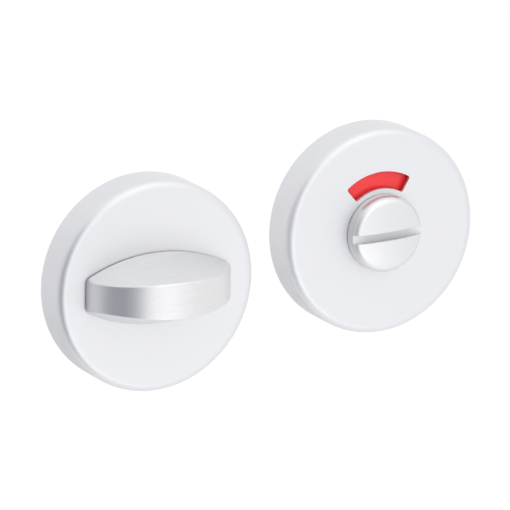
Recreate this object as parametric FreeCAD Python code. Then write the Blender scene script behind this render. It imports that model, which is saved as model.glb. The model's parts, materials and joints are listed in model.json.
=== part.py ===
import FreeCAD, Part
import math
import os

# A bathroom lock set: an inside rose with a lens-shaped thumb turn, and an outside rose with a coin-slotted
# release and an indicator window, linked through the door by a square spindle.
# Frame: the thumb turn's axis meets the door face at the origin, +Z is up and both roses face -Y.
# Heights in the stack are distances from the door face, positive out of the door.

# Roses, both halves
rose_diameter = 52.0
rose_depth = 10.0
rose_edge_radius = 2.0
cover_wall = 1.5            # round the skirt
cover_front = 0.8           # across the front
cover_bore_gap = 0.35       # between a turn's neck and the cover's bore
release_spacing = 71.5      # sideways, from the thumb turn's axis to the release's axis
release_setback = 19.2      # the release half stands this much further back

# Moulded bases
base_thickness = 3.0
base_ledge = 0.6            # step inside the cover that sits on the base
base_fit = 0.1              # base inside the cover's skirt
rim_wall = 1.4
rim_gap = 0.3               # raised rim inside the cover
rib_count = 8
rib_width = 1.4
rib_drop = 0.8              # ribs and rim stop this far below the hub's front
hub_margin = 0.5            # hub beyond the bush's flange
lug_count = 3
lug_angle = 16.0
lug_height = 0.4
lug_width = 0.8
lug_setback = 1.1           # from the door face to the lugs

# Through bolts
bolt_inset = 7.0            # from the rose's rim to each bolt's axis
bolt_hole_diameter = 4.4
bolt_head_diameter = 8.4
boss_wall = 2.4             # round the bolt hole
insert_diameter = 6.0
insert_bore_diameter = 3.3
insert_length = 4.5
insert_waist = 0.4          # depth of the groove round the insert
insert_fit = 0.02

# Stem of each turn, and what it runs in
neck_diameter = 16.0
journal_diameter = 14.0
running_gap = 0.05          # radial, journal in bush
end_play = 0.1              # along the axis
bush_wall = 1.45
bush_fit = 0.02
bush_flange_width = 2.5
bush_flange_thickness = 0.8
stem_inset = 0.3            # stem's end below the door face
ring_land = 0.5             # stem beyond the ring's groove
ring_thickness = 0.8
ring_seat_depth = 0.7
ring_width = 2.0
ring_fit = 0.03
ring_opening_angle = 56.0
ring_ear_radius = 1.45
ring_ear_hole_radius = 0.6
spring_thickness = 0.3
spring_bow = 0.3
spring_width = 2.3
washer_thickness = 0.4
washer_bore_gap = 0.3
washer_bearing = 2.0        # washer beyond the bush's seat
pocket_gap = 0.4            # round the washer
spindle_side = 5.0
socket_fit = 0.05
spindle_projection = 30.0   # behind the door face
spindle_chamfer = 0.5

# Thumb turn
turn_length = 38.2
turn_projection = 13.8      # in front of the rose
turn_gap = 0.4
turn_height = 17.5          # at its back, in the middle
turn_end_height = 7.9       # at its back, at the ends
turn_end_edge = 0.5
turn_side_slope = 18.0
turn_tilt = 1.2             # left end up, as the grip sits on its stem
turn_corner_radius = 1.5
turn_edge_radius = 0.5
turn_socket_reach = 7.0     # spindle beyond the rose's front
grub_height = 4.5           # grub screw's axis in front of the rose
grub_diameter = 4.0
grub_length = 4.0
grub_fit = 0.05
grub_key_size = 2.0
grub_key_depth = 2.0

# Release turn
head_diameter = 19.2
head_gap = 0.2
head_height = 3.65          # rim in front of the rose
head_dome = 1.15
head_edge_radius = 2.0
slot_width = 2.2
slot_depth = 2.15           # below the dome's middle
slot_tilt = 1.8             # right end up, as the head sits on its stem
release_socket_end = 1.5    # solid behind the rose's front

# Indicator
window_inner_radius = 10.9
window_outer_radius = 15.25
window_angle = 71.5
window_middle = 94.2        # from +X, as the push-fit cover sits in its set
window_corner_radius = 0.6
disc_margin = 2.5           # disc outside the window
disc_thickness = 1.0
disc_gap = 1.0              # behind the cover's front wall
disc_hub_length = 1.5
disc_hub_wall = 2.5
disc_fit = 0.05
flat_step = 0.2             # neck's flats outside the journal
film_margin = 0.5
film_side_angle = 6.0
film_thickness = 0.2
film_fit = 0.05
notch_margin = 1.0          # notch outside the window
release_swing = 90.0
stop_angle = -90.0
stop_width = 2.5
stop_gap = 0.3

# Sizes that follow
rose_radius = rose_diameter / 2
neck_radius = neck_diameter / 2
journal_radius = journal_diameter / 2
cover_inside = rose_depth - cover_front
cover_bore_radius = neck_radius + cover_bore_gap
skirt_radius = rose_radius - cover_wall
ledge_radius = skirt_radius - base_ledge
base_radius = skirt_radius - base_fit
lug_radius = base_radius + lug_height
lug_front = lug_setback + lug_width
snap_radius = lug_radius + base_fit
snap_back = lug_setback - base_fit
snap_front = lug_front + base_fit

ring_back = stem_inset + ring_land
ring_front = ring_back + ring_thickness
ring_seat_radius = journal_radius - ring_seat_depth
ring_inner_radius = ring_seat_radius + ring_fit
ring_outer_radius = ring_inner_radius + ring_width
bush_inner_radius = journal_radius + running_gap
bush_outer_radius = bush_inner_radius + bush_wall
bush_seat_radius = bush_outer_radius + bush_fit
flange_radius = bush_outer_radius + bush_flange_width
washer_inner_radius = journal_radius + washer_bore_gap
washer_outer_radius = bush_seat_radius + washer_bearing
spring_outer_radius = washer_inner_radius + spring_width
spring_back = ring_front + running_gap
spring_front = spring_back + spring_bow + spring_thickness
washer_back = spring_front + running_gap
pocket_floor = washer_back + washer_thickness
pocket_radius = washer_outer_radius + pocket_gap

disc_radius = window_outer_radius + disc_margin
disc_front = cover_inside - disc_gap
disc_back = disc_front - disc_thickness
disc_hub_back = disc_front - disc_hub_length
disc_hub_radius = neck_radius + disc_hub_wall
shoulder = disc_hub_back
bush_front = shoulder - end_play
hub_front = bush_front - bush_flange_thickness
hub_radius = flange_radius + hub_margin
rim_radius = ledge_radius - rim_gap
rib_top = hub_front - rib_drop
bolt_reach = rose_radius - bolt_inset
bolt_hole_radius = bolt_hole_diameter / 2
boss_radius = bolt_hole_radius + boss_wall
bolt_head_depth = (bolt_head_diameter - bolt_hole_diameter) / 2
flat_half = journal_radius + flat_step
notch_radius = window_outer_radius + notch_margin
film_half_angle = window_angle / 2 + film_side_angle
socket_side = spindle_side + 2 * socket_fit
turn_socket_floor = rose_depth + turn_socket_reach
past = 1.0                  # how far a cutting tool runs past the faces that it cuts

ORIGIN = FreeCAD.Vector(0, 0, 0)
OUTWARD = FreeCAD.Vector(0, -1, 0)
UP = FreeCAD.Vector(0, 0, 1)


def point(x, height, z=0.0):
    """Point at a distance from the door face."""
    return FreeCAD.Vector(x, -height, z)


def polygon(corners):
    """Flat face with straight sides."""
    return Part.Face(Part.makePolygon(corners + corners[:1]))


def turned(profile):
    """Solid turned about the axis from (radius, height) corners."""
    return polygon([point(r, h) for r, h in profile]).revolve(ORIGIN, OUTWARD, 360)


def rod(radius, low, high, x=0.0, z=0.0):
    """Cylinder along the axis between two heights."""
    return Part.makeCylinder(radius, high - low, point(x, low, z), OUTWARD)


def tube(inner, outer, low, high):
    """Flat ring between two heights."""
    return turned([(inner, low), (outer, low), (outer, high), (inner, high)])


def block(width, depth, low, high, x=0.0, z=0.0):
    """Box between two heights, width along X and depth along Z."""
    return Part.makeBox(width, high - low, depth, point(x - width / 2, high, z - depth / 2))


def sector(inner, outer, low, high, start, end):
    """Part of a flat ring, with angles from +X towards +Z."""
    face = polygon([point(inner, low), point(outer, low), point(outer, high), point(inner, high)])
    face.rotate(ORIGIN, OUTWARD, start)
    return face.revolve(ORIGIN, OUTWARD, end - start)


def arc_radius(half, rise):
    """Radius of the arc that rises this much over half its chord."""
    return (half ** 2 + rise ** 2) / (2 * rise)


def round_corner(half, radius, middle, corner):
    """Round corner between an arc about (0, middle) and a straight side at half: its end, middle and start."""
    across = half - corner
    along = middle + math.sqrt((radius - corner) ** 2 - across ** 2)
    lean = math.atan2(across, along - middle)
    bend = (lean + math.pi / 2) / 2
    side = (half, along)
    turn = (across + corner * math.sin(bend), along + corner * math.cos(bend))
    join = (radius * math.sin(lean), middle + radius * math.cos(lean))
    return side, turn, join


def circles(shape, radius, height):
    """Circular edges of one radius at one height."""
    found = []
    for edge in shape.Edges:
        curve = edge.Curve
        if isinstance(curve, Part.Circle) and abs(curve.Radius - radius) < 1e-6:
            if abs(curve.Center.y + height) < 1e-6:
                found.append(edge)
    return found


def rose_cover():
    """Cup with a rounded front edge, a bore for the neck, and a skirt that snaps over the base."""
    cup = turned([
        (cover_bore_radius, cover_inside), (cover_bore_radius, rose_depth),
        (rose_radius, rose_depth), (rose_radius, 0), (skirt_radius, 0),
        (skirt_radius, snap_back), (snap_radius, snap_back),
        (snap_radius, snap_front), (skirt_radius, snap_front),
        (skirt_radius, base_thickness), (ledge_radius, base_thickness),
        (ledge_radius, cover_inside),
    ])
    return cup.makeFillet(rose_edge_radius, circles(cup, rose_radius, rose_depth))


def window():
    """Cutter for the arc-shaped indicator window, with round corners."""
    cutter = sector(window_inner_radius, window_outer_radius, cover_inside - past, rose_depth + past,
                    window_middle - window_angle / 2, window_middle + window_angle / 2)
    corners = [e for e in cutter.Edges if e.BoundBox.XLength + e.BoundBox.ZLength < 1e-6]
    return cutter.makeFillet(window_corner_radius, corners)


def bolt_places():
    """X of the two through bolts, level with the axis."""
    return [-bolt_reach, bolt_reach]


def base(extras, cuts):
    """Moulded base: plate, hub, ribs, rim, bolt bosses and snap lugs, with the seats of the bush and ring."""
    plate = rod(base_radius, 0, base_thickness)
    hub = rod(hub_radius, 0, hub_front)
    raised = [tube(rim_radius - rim_wall, rim_radius, 0, rib_top)]
    for x in bolt_places():
        raised.append(rod(boss_radius, 0, hub_front, x))
    for i in range(rib_count):
        rib = block(rim_radius, rib_width, 0, rib_top, rim_radius / 2)
        rib.rotate(ORIGIN, OUTWARD, 360 * i / rib_count)
        raised.append(rib)
    trimmed = hub.fuse(raised + extras).common(rod(rim_radius, 0, rose_depth))
    lugs = []
    for i in range(lug_count):
        middle = 90 + 360 * i / lug_count
        lugs.append(sector(hub_radius, lug_radius, lug_setback, lug_front,
                           middle - lug_angle / 2, middle + lug_angle / 2))
    solid = plate.fuse([trimmed] + lugs)
    seats = [rod(pocket_radius, -past, pocket_floor), rod(bush_seat_radius, -past, rose_depth)]
    return solid.cut(seats + cuts).removeSplitter()


def countersinks():
    """Cutters for the countersunk bolt holes of the inside half."""
    cone_back = hub_front - bolt_head_depth
    cuts = []
    for x in bolt_places():
        cuts.append(rod(bolt_hole_radius, -past, rose_depth, x))
        cuts.append(Part.makeCone(bolt_hole_radius, bolt_head_diameter / 2, bolt_head_depth,
                                  point(x, cone_back), OUTWARD))
    return cuts


def insert_seats():
    """Cutters for the insert bores of the outside half, with room for the bolt's end."""
    cuts = []
    for x in bolt_places():
        cuts.append(rod(insert_diameter / 2 + insert_fit, -past, insert_length, x))
        cuts.append(rod(bolt_hole_radius, 0, rose_depth, x))
    return cuts


def stop_post():
    """Post in the disc's notch that ends the release's swing."""
    inner = notch_radius + stop_gap
    length = disc_radius + stop_gap - inner
    post = block(length, stop_width, 0, disc_front, inner + length / 2)
    post.rotate(ORIGIN, OUTWARD, stop_angle)
    return post


def threaded_inserts():
    """Two waisted inserts that take the through bolts."""
    outer = insert_diameter / 2
    bore = insert_bore_diameter / 2
    third = insert_length / 3
    insert = turned([
        (bore, 0), (outer, 0), (outer, third), (outer - insert_waist, third),
        (outer - insert_waist, 2 * third), (outer, 2 * third), (outer, insert_length), (bore, insert_length),
    ])
    return Part.makeCompound([insert.translated(point(x, 0)) for x in bolt_places()])


def bush():
    """Flanged bush that seats on the hub's front."""
    back = pocket_floor + end_play
    return turned([
        (bush_inner_radius, back), (bush_outer_radius, back), (bush_outer_radius, hub_front),
        (flange_radius, hub_front), (flange_radius, bush_front), (bush_inner_radius, bush_front),
    ])


def thrust_washer():
    """Flat washer on the floor of the base's pocket."""
    return tube(washer_inner_radius, washer_outer_radius, washer_back, pocket_floor)


def spring_washer():
    """Washer bowed about the vertical, between the retaining ring and the thrust washer."""
    outer = arc_radius(spring_outer_radius, spring_bow)
    centre = point(0, spring_front - outer, -rose_radius)
    shell = Part.makeCylinder(outer, rose_diameter, centre, UP)
    shell = shell.cut(Part.makeCylinder(outer - spring_thickness, rose_diameter, centre, UP))
    return tube(washer_inner_radius, spring_outer_radius, 0, rose_depth).common(shell)


def retaining_ring():
    """External circlip with two ears for the pliers."""
    ring = tube(ring_inner_radius, ring_outer_radius, ring_back, ring_front)
    opening = sector(0, rose_radius, ring_back - past, ring_front + past,
                     stop_angle - ring_opening_angle / 2, stop_angle + ring_opening_angle / 2)
    ring = ring.cut(opening)
    for side in (-1, 1):
        angle = math.radians(stop_angle + side * ring_opening_angle / 2)
        x = ring_outer_radius * math.cos(angle)
        z = ring_outer_radius * math.sin(angle)
        ring = ring.fuse(rod(ring_ear_radius, ring_back, ring_front, x, z))
        ring = ring.cut(rod(ring_ear_hole_radius, ring_back - past, ring_front + past, x, z))
    return ring.removeSplitter()


def stem(front):
    """Journal, ring groove, shoulder and neck that both turns share."""
    return turned([
        (0, stem_inset), (journal_radius, stem_inset), (journal_radius, ring_back - running_gap),
        (ring_seat_radius, ring_back - running_gap), (ring_seat_radius, ring_front + running_gap),
        (journal_radius, ring_front + running_gap), (journal_radius, shoulder), (neck_radius, shoulder),
        (neck_radius, front), (0, front),
    ])


def turn_side(back, reach):
    """Space under the turn's upper side: an arc with rounded ends, swept along the side's slope."""
    half = turn_length / 2
    radius = arc_radius(half, (turn_height - turn_end_height) / 2)
    corner = round_corner(half, radius, turn_height / 2 - radius, turn_corner_radius)
    left_end, left_turn, left_join = [point(-x, back, z) for x, z in corner]
    right_end, right_turn, right_join = [point(x, back, z) for x, z in corner]
    left_foot = point(-half, back, -turn_height)
    right_foot = point(half, back, -turn_height)
    outline = Part.Wire([
        Part.makeLine(left_foot, left_end),
        Part.Arc(left_end, left_turn, left_join).toShape(),
        Part.Arc(left_join, point(0, back, turn_height / 2), right_join).toShape(),
        Part.Arc(right_join, right_turn, right_end).toShape(),
        Part.makeLine(right_end, right_foot),
        Part.makeLine(right_foot, left_foot),
    ])
    slope = FreeCAD.Vector(0, -1, -math.tan(math.radians(turn_side_slope)))
    face = Part.Face(outline)
    face.translate(slope * -past)
    return face.extrude(slope * (reach + 2 * past))


def turn_grip():
    """Lens-shaped grip: a segment in plan, between two sloping sides."""
    half = turn_length / 2
    back = rose_depth + turn_gap
    front = rose_depth + turn_projection
    radius = arc_radius(half, front - back - turn_end_edge)
    chord = math.sqrt(radius ** 2 - (radius - (front - back)) ** 2)
    left = point(-chord, back, -turn_height)
    right = point(chord, back, -turn_height)
    crown = point(0, front, -turn_height)
    plan = Part.Wire([Part.Arc(left, crown, right).toShape(), Part.makeLine(right, left)])
    upper = turn_side(back, front - back)
    lower = upper.mirror(ORIGIN, UP)
    grip = Part.Face(plan).extrude(UP * (2 * turn_height)).common(upper).common(lower)
    crown_faces = [f for f in grip.Faces if isinstance(f.Surface, Part.Cylinder)
                   and abs(f.Surface.Radius - radius) < 1e-6]
    return grip.makeFillet(turn_edge_radius, crown_faces[0].Edges)


def thumb_turn_knob():
    """Grip on its stem, with the spindle's socket and the grub screw's hole from below."""
    grip = turn_grip()
    grip.rotate(ORIGIN, OUTWARD, -turn_tilt)
    knob = stem(rose_depth + turn_gap + past).fuse(grip).removeSplitter()
    socket = block(socket_side, socket_side, stem_inset - past, turn_socket_floor)
    hole = Part.makeCylinder(grub_diameter / 2 + grub_fit, turn_height,
                             point(0, rose_depth + grub_height, -turn_height), UP)
    return knob.cut([socket, hole])


def spindle():
    """Square bar with a chamfered free end."""
    bar = block(spindle_side, spindle_side, -spindle_projection, turn_socket_floor)
    end = [e for e in bar.Edges if abs(e.BoundBox.YMin - spindle_projection) < 1e-6]
    return bar.makeChamfer(spindle_chamfer, end)


def grub_screw():
    """Set screw with a hexagon socket, its end on the spindle."""
    tip = -spindle_side / 2
    foot = tip - grub_length
    height = rose_depth + grub_height
    screw = Part.makeCylinder(grub_diameter / 2, grub_length, point(0, height, foot), UP)
    corner = grub_key_size / 2 / math.cos(math.radians(30))
    corners = []
    for i in range(6):
        angle = math.radians(60 * i)
        corners.append(point(corner * math.cos(angle), height + corner * math.sin(angle), foot))
    return screw.cut(polygon(corners).extrude(UP * grub_key_depth))


def release_head(crown):
    """Head with a round rim and a dome, turned about the axis."""
    half = head_diameter / 2
    radius = arc_radius(half, head_dome)
    back_edge = point(half, rose_depth + head_gap)
    back_middle = point(0, rose_depth + head_gap)
    front_middle = point(0, crown)
    corner = round_corner(half, radius, crown - radius, head_edge_radius)
    side, turn, join = [point(x, height) for x, height in corner]
    slant = math.asin(join.x / radius) / 2
    on_dome = point(radius * math.sin(slant), crown - radius + radius * math.cos(slant))
    outline = Part.Wire([
        Part.makeLine(back_middle, back_edge),
        Part.makeLine(back_edge, side),
        Part.Arc(side, turn, join).toShape(),
        Part.Arc(join, on_dome, front_middle).toShape(),
        Part.makeLine(front_middle, back_middle),
    ])
    return Part.Face(outline).revolve(ORIGIN, OUTWARD, 360)


def release_turn():
    """Domed head with a coin slot, on a stem with two flats that drive the disc."""
    crown = rose_depth + head_height + head_dome
    slot = block(head_diameter + past, slot_width, crown - slot_depth, crown + past)
    slot.rotate(ORIGIN, OUTWARD, slot_tilt)
    flats = []
    for side in (-1, 1):
        flats.append(block(neck_diameter, neck_radius, shoulder - past, disc_front,
                           0, side * (flat_half + neck_radius / 2)))
    stem_front = rose_depth + head_gap + past
    body = stem(stem_front).cut(flats).fuse(release_head(crown)).removeSplitter()
    socket = block(socket_side, socket_side, stem_inset - past, rose_depth - release_socket_end)
    return body.cut([slot, socket])


def film(gap):
    """Sector of red film, or the recess that takes it with a gap all round."""
    inner = window_inner_radius - film_margin - gap
    outer = window_outer_radius + film_margin + gap
    half = film_half_angle + math.degrees(gap / window_inner_radius)
    return sector(inner, outer, disc_front - film_thickness, disc_front, window_middle - half, window_middle + half)


def indicator_disc():
    """Disc with a hub keyed to the neck, a recess for the film and a notch for the stop post."""
    disc = rod(disc_radius, disc_back, disc_front).fuse(rod(disc_hub_radius, disc_hub_back, disc_front))
    key = block(2 * disc_radius, 2 * (flat_half + disc_fit), 0, rose_depth)
    bore = rod(neck_radius + disc_fit, 0, rose_depth).common(key)
    room = math.degrees((stop_width / 2 + stop_gap) / notch_radius)
    notch = sector(notch_radius, rose_radius, 0, rose_depth,
                   stop_angle - room, stop_angle + release_swing + room)
    return disc.removeSplitter().cut([bore, notch, film(film_fit)])


inside_half = {
    "thumb_turn_rose_cover": rose_cover(),
    "thumb_turn_base": base([], countersinks()),
    "thumb_turn_bush": bush(),
    "thumb_turn_thrust_washer": thrust_washer(),
    "thumb_turn_spring_washer": spring_washer(),
    "thumb_turn_retaining_ring": retaining_ring(),
    "thumb_turn_knob": thumb_turn_knob(),
    "thumb_turn_spindle": spindle(),
    "thumb_turn_grub_screw": grub_screw(),
}
outside_half = {
    "release_rose_cover": rose_cover().cut(window()),
    "release_base": base([stop_post()], insert_seats()),
    "release_threaded_inserts": threaded_inserts(),
    "release_bush": bush(),
    "release_thrust_washer": thrust_washer(),
    "release_spring_washer": spring_washer(),
    "release_retaining_ring": retaining_ring(),
    "release_turn": release_turn(),
    "release_indicator_disc": indicator_disc(),
    "release_red_sector": film(0.0),
}

os.makedirs("parts", exist_ok=True)
for node, shape in inside_half.items():
    shape.exportStep("parts/" + node + ".step")
for node, shape in outside_half.items():
    place = FreeCAD.Vector(release_spacing, release_setback, 0)
    shape.translated(place).exportStep("parts/" + node + ".step")
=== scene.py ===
import json
import math

import bpy
from mathutils import Matrix, Vector


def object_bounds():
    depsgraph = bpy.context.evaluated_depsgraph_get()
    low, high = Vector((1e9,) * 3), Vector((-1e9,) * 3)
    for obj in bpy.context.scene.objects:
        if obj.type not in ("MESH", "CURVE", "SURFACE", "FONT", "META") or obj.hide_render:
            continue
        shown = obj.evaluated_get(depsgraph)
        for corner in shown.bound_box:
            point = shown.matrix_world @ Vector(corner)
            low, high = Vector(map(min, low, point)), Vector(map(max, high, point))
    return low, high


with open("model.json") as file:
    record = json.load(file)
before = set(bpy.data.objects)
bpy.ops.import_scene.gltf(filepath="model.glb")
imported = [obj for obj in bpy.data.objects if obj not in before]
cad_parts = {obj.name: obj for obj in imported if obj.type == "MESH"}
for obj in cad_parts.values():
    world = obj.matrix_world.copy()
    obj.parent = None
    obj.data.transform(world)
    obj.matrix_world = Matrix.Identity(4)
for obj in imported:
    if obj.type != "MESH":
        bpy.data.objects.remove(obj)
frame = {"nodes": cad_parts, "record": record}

cad_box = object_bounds()

# Camera: the view's angles, its distance and where it aims, beside the thumb turn's axis
VIEW_AZIMUTH = math.radians(27.77)
VIEW_ELEVATION = math.radians(15.48)
VIEW_DISTANCE = 1.4423
AIM_RIGHT = 0.02784
AIM_UP = 0.00531
SENSOR_MM = 36.0
LENS_MM = 425.2

# Studio
FLOOR_DROP = 0.45           # floor below the roses
FLOOR_SIZE = 8.0
FLOOR_ALBEDO = 0.85
FLOOR_GLOW = 0.105          # what the lit floor leaves short of white
WORLD_STRENGTH = 1.057
SHADE_TOP = 0.25
CARD_TOP = 0.30
BACK_CARD_STEP = -0.16      # height where the back card turns darker

# Grain stretched along the grip, as it is brushed
BRUSHED = (0.03, 1.0, 1.0)

# Finishes: darker and lighter grain, lowest and highest roughness, grains a metre, relief in metres,
# metal or not, and how the grain is stretched where it is
FINISHES = {
    "satin_aluminium": ((0.745, 0.749, 0.773), (0.764, 0.768, 0.788), (0.50, 0.56), 9000.0, 0.000004, 1.0),
    "turned_aluminium": ((0.732, 0.736, 0.750), (0.751, 0.755, 0.766), (0.41, 0.47), 9000.0, 0.000004, 1.0),
    "brushed_aluminium": ((0.718, 0.720, 0.731), (0.769, 0.771, 0.777), (0.36, 0.46), 3400.0, 0.000005, 1.0,
                          BRUSHED),
    "moulded_nylon": ((0.030, 0.031, 0.034), (0.050, 0.051, 0.055), (0.45, 0.62), 3500.0, 0.00003, 0.0),
    "white_acetal": ((0.80, 0.80, 0.77), (0.86, 0.86, 0.83), (0.32, 0.42), 1800.0, 0.00001, 0.0),
    "plated_steel": ((0.60, 0.61, 0.63), (0.70, 0.71, 0.73), (0.26, 0.40), 2600.0, 0.00001, 1.0),
    "spring_steel": ((0.26, 0.26, 0.28), (0.36, 0.36, 0.38), (0.28, 0.42), 2600.0, 0.00001, 1.0),
    "black_steel": ((0.030, 0.030, 0.033), (0.060, 0.060, 0.064), (0.38, 0.52), 2600.0, 0.00001, 0.6),
    "insert_brass": ((0.72, 0.52, 0.22), (0.82, 0.62, 0.30), (0.24, 0.36), 3000.0, 0.00001, 1.0),
    "indicator_white": ((0.86, 0.86, 0.84), (0.90, 0.90, 0.88), (0.26, 0.34), 1500.0, 0.00001, 0.0),
    "indicator_red": ((0.935, 0.034, 0.040), (0.950, 0.038, 0.044), (0.26, 0.30), 4000.0, 0.000002, 0.0),
}

# Pieces whose metal is worked in another way than their slot's
OWN_FINISHES = {"thumb_turn_knob": "brushed_aluminium", "release_turn": "turned_aluminium"}

# Coin slot of the release: the middle of its floor, its tilt with the right end up, half the floor's width, from
# where to where the painted shade on the floor fades out towards the ends, and the shaded floor's share of the
# head's colour
COIN_SLOT_MIDDLE = (0.0715, 0.00655, 0.0)
COIN_SLOT_TILT = math.radians(1.8)
COIN_SLOT_HALF = 0.00105
SLOT_SHADE_FADE = (0.0055, 0.0086)
SLOT_SHADE_SHARE = 0.84


def new_material(name):
    """Material with an empty node tree, and its output."""
    material = bpy.data.materials.new(name)
    material.use_nodes = True
    tree = material.node_tree
    tree.nodes.clear()
    output = tree.nodes.new("ShaderNodeOutputMaterial")
    return material, tree, output


def principled(name):
    """Material with a principled shader."""
    material, tree, output = new_material(name)
    shader = tree.nodes.new("ShaderNodeBsdfPrincipled")
    tree.links.new(shader.outputs["BSDF"], output.inputs["Surface"])
    return material, tree, shader


def place(tree, stretch):
    """Object coordinates, scaled along each axis."""
    coordinates = tree.nodes.new("ShaderNodeTexCoord")
    mapping = tree.nodes.new("ShaderNodeMapping")
    mapping.inputs["Scale"].default_value = stretch
    tree.links.new(coordinates.outputs["Object"], mapping.inputs["Vector"])
    return mapping.outputs["Vector"]


def noise(tree, scale, stretch):
    """Noise of so many grains a metre."""
    node = tree.nodes.new("ShaderNodeTexNoise")
    node.inputs["Scale"].default_value = scale
    node.inputs["Detail"].default_value = 3.0
    tree.links.new(place(tree, stretch), node.inputs["Vector"])
    return node.outputs["Fac"]


def ramp(tree, value, dark, light):
    """Two colours mixed by a noise, whose values lie round the middle."""
    node = tree.nodes.new("ShaderNodeValToRGB")
    node.color_ramp.elements[0].position = 0.3
    node.color_ramp.elements[1].position = 0.7
    node.color_ramp.elements[0].color = (*dark, 1.0)
    node.color_ramp.elements[1].color = (*light, 1.0)
    tree.links.new(value, node.inputs["Fac"])
    return node.outputs["Color"]


def span(tree, value, low, high, start=0.0, end=1.0):
    """Value between start and end spread between two numbers."""
    node = tree.nodes.new("ShaderNodeMapRange")
    node.inputs["From Min"].default_value = start
    node.inputs["From Max"].default_value = end
    node.inputs["To Min"].default_value = low
    node.inputs["To Max"].default_value = high
    tree.links.new(value, node.inputs["Value"])
    return node.outputs["Result"]


def calculate(tree, operation, first, second=0.0):
    """Result of an operation on a value and a number or another value."""
    node = tree.nodes.new("ShaderNodeMath")
    node.operation = operation
    tree.links.new(first, node.inputs[0])
    if isinstance(second, float):
        node.inputs[1].default_value = second
    else:
        tree.links.new(second, node.inputs[1])
    return node.outputs[0]


def bump(tree, shader, height, depth):
    """Fine relief of a depth in metres."""
    node = tree.nodes.new("ShaderNodeBump")
    node.inputs["Distance"].default_value = depth
    tree.links.new(height, node.inputs["Height"])
    tree.links.new(node.outputs["Normal"], shader.inputs["Normal"])


def grained(name, dark, light, rough, scale, depth, metallic, stretch=(1.0, 1.0, 1.0)):
    """Surface with a grain in its colour, its gloss and its relief."""
    material, tree, shader = principled(name)
    grain = noise(tree, scale, stretch)
    tree.links.new(ramp(tree, grain, dark, light), shader.inputs["Base Color"])
    tree.links.new(span(tree, grain, rough[0], rough[1]), shader.inputs["Roughness"])
    bump(tree, shader, grain, depth)
    shader.inputs["Metallic"].default_value = metallic
    return material


def slot_shade_mask(tree):
    """Mask of the painted shade: 1 on the floor of the coin slot, fading out towards its ends, and 0 elsewhere.
    """
    coordinates = tree.nodes.new("ShaderNodeTexCoord")
    mapping = tree.nodes.new("ShaderNodeMapping")
    mapping.vector_type = "TEXTURE"
    mapping.inputs["Location"].default_value = COIN_SLOT_MIDDLE
    mapping.inputs["Rotation"].default_value = (0.0, -COIN_SLOT_TILT, 0.0)
    tree.links.new(coordinates.outputs["Object"], mapping.inputs["Vector"])
    axes = tree.nodes.new("ShaderNodeSeparateXYZ")
    tree.links.new(mapping.outputs["Vector"], axes.inputs["Vector"])
    along, deep, across = [calculate(tree, "ABSOLUTE", axis) for axis in axes.outputs]
    inside = calculate(tree, "LESS_THAN", calculate(tree, "MAXIMUM", across, deep), COIN_SLOT_HALF)
    return calculate(tree, "MULTIPLY", inside, span(tree, along, 1.0, 0.0, *SLOT_SHADE_FADE))


def paint_slot_shade(material):
    """Paints shade on the floor of the coin slot by darkening the head's colour there."""
    tree = material.node_tree
    colour = tree.nodes["Principled BSDF"].inputs["Base Color"]
    mix = tree.nodes.new("ShaderNodeMixRGB")
    mix.blend_type = "MULTIPLY"
    mix.inputs["Color2"].default_value = (SLOT_SHADE_SHARE, SLOT_SHADE_SHARE, SLOT_SHADE_SHARE, 1.0)
    tree.links.new(slot_shade_mask(tree), mix.inputs["Fac"])
    tree.links.new(colour.links[0].from_socket, mix.inputs["Color1"])
    tree.links.new(mix.outputs["Color"], colour)


def dress_nodes():
    """Gives each CAD node its finish, by its slot in the record."""
    materials = {name: grained(name, *finish) for name, finish in FINISHES.items()}
    # Painted shade on the floor of the coin slot, in the release head's colour
    paint_slot_shade(materials["turned_aluminium"])
    for subpart in frame["record"]["subparts"]:
        node = subpart["node"]
        mesh = frame["nodes"][node].data
        mesh.materials.clear()
        mesh.materials.append(materials[OWN_FINISHES.get(node, subpart["material_slot"])])


def stage_plane(name, corners, material):
    """Flat piece of the studio."""
    mesh = bpy.data.meshes.new(name)
    mesh.from_pydata(corners, [], [tuple(range(len(corners)))])
    mesh.materials.append(material)
    plane = bpy.data.objects.new(name, mesh)
    bpy.context.scene.collection.objects.link(plane)
    return plane


def floor_material():
    """White floor that keeps shadows. What its light leaves short of white is added for the eye and for
    reflections."""
    material, tree, output = new_material("studio_floor")
    diffuse = tree.nodes.new("ShaderNodeBsdfDiffuse")
    diffuse.inputs["Color"].default_value = (FLOOR_ALBEDO, FLOOR_ALBEDO, FLOOR_ALBEDO, 1.0)
    path = tree.nodes.new("ShaderNodeLightPath").outputs
    seen = calculate(tree, "ADD", path["Is Camera Ray"], path["Is Glossy Ray"])
    seen = calculate(tree, "ADD", seen, path["Is Transmission Ray"])
    glow = tree.nodes.new("ShaderNodeEmission")
    tree.links.new(calculate(tree, "MULTIPLY", seen, FLOOR_GLOW), glow.inputs["Strength"])
    total = tree.nodes.new("ShaderNodeAddShader")
    tree.links.new(diffuse.outputs[0], total.inputs[0])
    tree.links.new(glow.outputs[0], total.inputs[1])
    tree.links.new(total.outputs[0], output.inputs["Surface"])
    return material


def direction(azimuth, elevation):
    """Unit vector from the part, azimuth from straight in front towards +X, in degrees."""
    a = math.radians(azimuth)
    e = math.radians(elevation)
    return Vector((math.sin(a) * math.cos(e), -math.cos(a) * math.cos(e), math.sin(e)))


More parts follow.
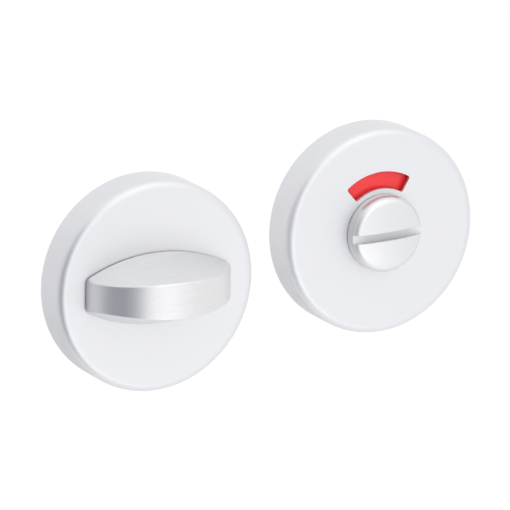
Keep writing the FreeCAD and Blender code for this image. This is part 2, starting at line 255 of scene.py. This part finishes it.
def card(name, azimuth, distance, width, low, high, colour):
    """Upright card that the metal mirrors on one side. The camera doesn't see it, and it leaves no shade on the floor."""
    middle = direction(azimuth, 0.0) * distance
    across = direction(azimuth + 90.0, 0.0) * (width / 2)
    corners = []
    for side, height in ((-1, low), (1, low), (1, high), (-1, high)):
        spot = middle + across * side
        corners.append((spot.x, spot.y, height))
    material, tree, shader = principled(name + "_cloth")
    shader.inputs["Base Color"].default_value = (*colour, 1.0)
    shader.inputs["Roughness"].default_value = 1.0
    plane = stage_plane(name, corners, material)
    plane.visible_camera = False
    plane.visible_diffuse = False
    plane.visible_shadow = False


def lamp(name, azimuth, elevation, distance, size, power):
    """Soft box that faces the part."""
    data = bpy.data.lights.new(name, "AREA")
    data.shape = "RECTANGLE"
    data.size = size[0]
    data.size_y = size[1]
    data.energy = power
    box = bpy.data.objects.new(name, data)
    bpy.context.scene.collection.objects.link(box)
    spot = direction(azimuth, elevation)
    box.location = spot * distance
    box.rotation_euler = spot.to_track_quat("Z", "Y").to_euler()
    box.visible_camera = False


def add_studio():
    """Floor, cards, soft boxes and an even white world."""
    floor = cad_box[0][2] - FLOOR_DROP
    half = FLOOR_SIZE / 2
    stage_plane("studio_floor", [(-half, -half, floor), (half, -half, floor), (half, half, floor),
                                 (-half, half, floor)], floor_material())
    card("shade_left", -57.0, 0.30, 0.31, floor, SHADE_TOP, (0.262, 0.266, 0.325))
    card("card_left", -118.0, 0.42, 0.36, floor, CARD_TOP, (0.78, 0.78, 0.79))
    card("card_back", 180.0, 0.35, 1.00, BACK_CARD_STEP, CARD_TOP, (0.88, 0.88, 0.88))
    card("card_back_low", 180.0, 0.35, 1.00, floor, BACK_CARD_STEP, (0.65, 0.65, 0.65))
    lamp("soft_box_low", 0.0, -32.0, 0.75, (0.6, 0.25), 0.46)
    lamp("soft_box_front", -8.0, 12.0, 1.3, (0.7, 0.6), 0.80)
    lamp("soft_box_top", 12.0, 50.0, 1.5, (1.4, 1.4), 3.45)

    world = bpy.data.worlds.new("studio")
    world.use_nodes = True
    background = world.node_tree.nodes["Background"]
    background.inputs["Color"].default_value = (1.0, 1.0, 1.0, 1.0)
    background.inputs["Strength"].default_value = WORLD_STRENGTH
    bpy.context.scene.world = world


def add_camera():
    """Long lens at the view's angles."""
    forward = Vector((math.sin(VIEW_AZIMUTH) * math.cos(VIEW_ELEVATION),
                      math.cos(VIEW_AZIMUTH) * math.cos(VIEW_ELEVATION), -math.sin(VIEW_ELEVATION)))
    right = Vector((math.cos(VIEW_AZIMUTH), -math.sin(VIEW_AZIMUTH), 0.0))
    up = right.cross(forward)
    data = bpy.data.cameras.new("camera")
    data.sensor_width = SENSOR_MM
    data.lens = LENS_MM
    data.clip_start = 0.01
    camera = bpy.data.objects.new("camera", data)
    bpy.context.scene.collection.objects.link(camera)
    turn = Matrix((right, up, -forward)).transposed().to_4x4()
    camera.matrix_world = Matrix.Translation(right * AIM_RIGHT + up * AIM_UP - forward * VIEW_DISTANCE) @ turn
    bpy.context.scene.camera = camera


dress_nodes()
add_studio()
add_camera()
bpy.context.scene.view_settings.view_transform = "Standard"
